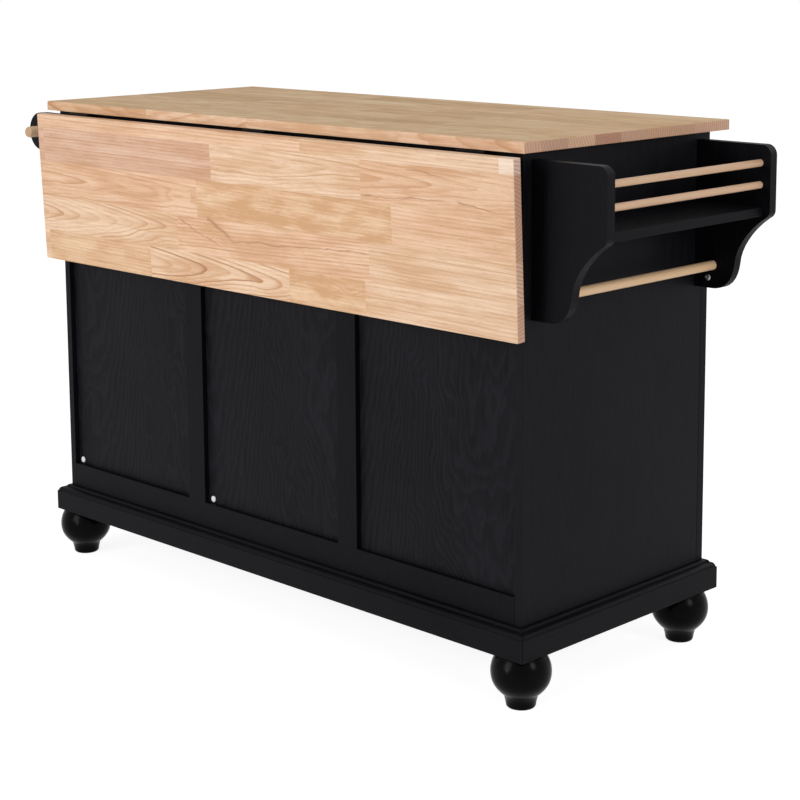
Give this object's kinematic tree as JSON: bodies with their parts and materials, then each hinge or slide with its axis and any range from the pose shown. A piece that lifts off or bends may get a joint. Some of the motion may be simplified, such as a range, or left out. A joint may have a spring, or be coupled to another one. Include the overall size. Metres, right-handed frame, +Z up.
{
  "type": "drop leaf kitchen island",
  "caption": "Kitchen island with a butcher-block worktop, a drop leaf along the back, a spice rack and a towel rack on its ends, doors and drawers, on turned bun feet.",
  "frame": {"origin": "on the floor, under the centre of the whole object's bounding box with the leaf hanging", "axes": "+Z up, +X along the worktop towards the towel rack, +Y towards the drop leaf, doors and drawers face -Y"},
  "size_m": [1.512, 0.566, 0.93],
  "materials": {
    "black_paint": "satin black paint over open-grained wood",
    "gloss_black_paint": "glossy black paint on turned wood",
    "butcher_block": "clear satin varnish on finger-jointed staves",
    "dowel_wood": "clear satin varnish",
    "drawer_wood": "sanded plywood",
    "zinc_steel": "zinc-plated",
    "black_steel": "black lacquer on pressed steel",
    "nickel": "brushed nickel",
    "white_plastic": "smooth"
  },
  "bodies": {
    "cabinet": {"worktop": "butcher_block", "end_panel_left": "black_paint", "end_panel_right": "black_paint", "partition_left": "black_paint", "partition_right": "black_paint", "base_deck": "black_paint", "back_frame": "black_paint", "back_panel": "black_paint", "face_frame": "black_paint", "shelf_left": "black_paint", "shelf_right": "black_paint", "plinth_front": "black_paint", "plinth_back": "black_paint", "plinth_left": "black_paint", "plinth_right": "black_paint", "rack_plate_front": "black_paint", "rack_plate_back": "black_paint", "rack_shelf": "black_paint", "towel_bracket_front": "black_paint", "towel_bracket_back": "black_paint", "foot_back_left": "gloss_black_paint", "foot_back_right": "gloss_black_paint", "foot_front_left": "gloss_black_paint", "foot_front_right": "gloss_black_paint", "worktop_hinge_left": "black_steel", "worktop_hinge_centre": "black_steel", "worktop_hinge_right": "black_steel", "stay_bracket_left": "zinc_steel", "stay_bracket_right": "zinc_steel", "door_hinge_left": "zinc_steel", "door_hinge_right": "zinc_steel", "rack_fitting_front": "zinc_steel", "rack_fitting_back": "zinc_steel", "rack_rail_upper": "dowel_wood", "rack_rail_lower": "dowel_wood", "rack_bar": "dowel_wood", "towel_bar": "dowel_wood", "plug_end": "white_plastic", "plug_middle": "white_plastic"},
    "leaf": {"drop_leaf": "butcher_block", "leaf_hinge_left": "black_steel", "leaf_hinge_centre": "black_steel", "leaf_hinge_right": "black_steel", "stay_guide_left": "zinc_steel", "stay_guide_right": "zinc_steel"},
    "left_stay": {"stay_arm_left": "zinc_steel"},
    "right_stay": {"stay_arm_right": "zinc_steel"},
    "left_door": {"door_left": "black_paint", "door_knob_left": "nickel"},
    "right_door": {"door_right": "black_paint", "door_knob_right": "nickel"},
    "top_drawer": {"drawer_front_top": "black_paint", "drawer_box_top": "drawer_wood", "drawer_knob_top": "nickel"},
    "middle_drawer": {"drawer_front_middle": "black_paint", "drawer_box_middle": "drawer_wood", "drawer_knob_middle": "nickel"},
    "bottom_drawer": {"drawer_front_bottom": "black_paint", "drawer_box_bottom": "drawer_wood", "drawer_knob_bottom": "nickel"}
  },
  "joints": [
    {"name": "leaf_hinge", "type": "hinge", "parent": "cabinet", "child": "leaf", "pos_m": [0.00751, 0.25937, 0.9064], "axis": [1, 0, 0], "range_deg": [0, 92.5]},
    {"name": "left_stay_pivot", "type": "hinge", "parent": "cabinet", "child": "left_stay", "pos_m": [-0.19951, 0.24652, 0.8164], "axis": [1, 0, 0], "range_deg": [0, 119.8]},
    {"name": "right_stay_pivot", "type": "hinge", "parent": "cabinet", "child": "right_stay", "pos_m": [0.21454, 0.24652, 0.8164], "axis": [1, 0, 0], "range_deg": [0, 119.8]},
    {"name": "left_door_hinge", "type": "hinge", "parent": "cabinet", "child": "left_door", "pos_m": [-0.56349, -0.25438, 0.522], "axis": [0, 0, -1], "range_deg": [0, 110]},
    {"name": "right_door_hinge", "type": "hinge", "parent": "cabinet", "child": "right_door", "pos_m": [0.57851, -0.25438, 0.522], "axis": [0, 0, 1], "range_deg": [0, 110]},
    {"name": "top_drawer_slide", "type": "slide", "parent": "cabinet", "child": "top_drawer", "axis": [0, -1, 0], "range_m": [0, 0.3]},
    {"name": "middle_drawer_slide", "type": "slide", "parent": "cabinet", "child": "middle_drawer", "axis": [0, -1, 0], "range_m": [0, 0.3]},
    {"name": "bottom_drawer_slide", "type": "slide", "parent": "cabinet", "child": "bottom_drawer", "axis": [0, -1, 0], "range_m": [0, 0.3]}
  ],
  "couplings": [
    {"joint": "left_stay_pivot", "follows": "leaf_hinge", "ratio": 1.2941},
    {"joint": "right_stay_pivot", "follows": "leaf_hinge", "ratio": 1.2941}
  ]
}
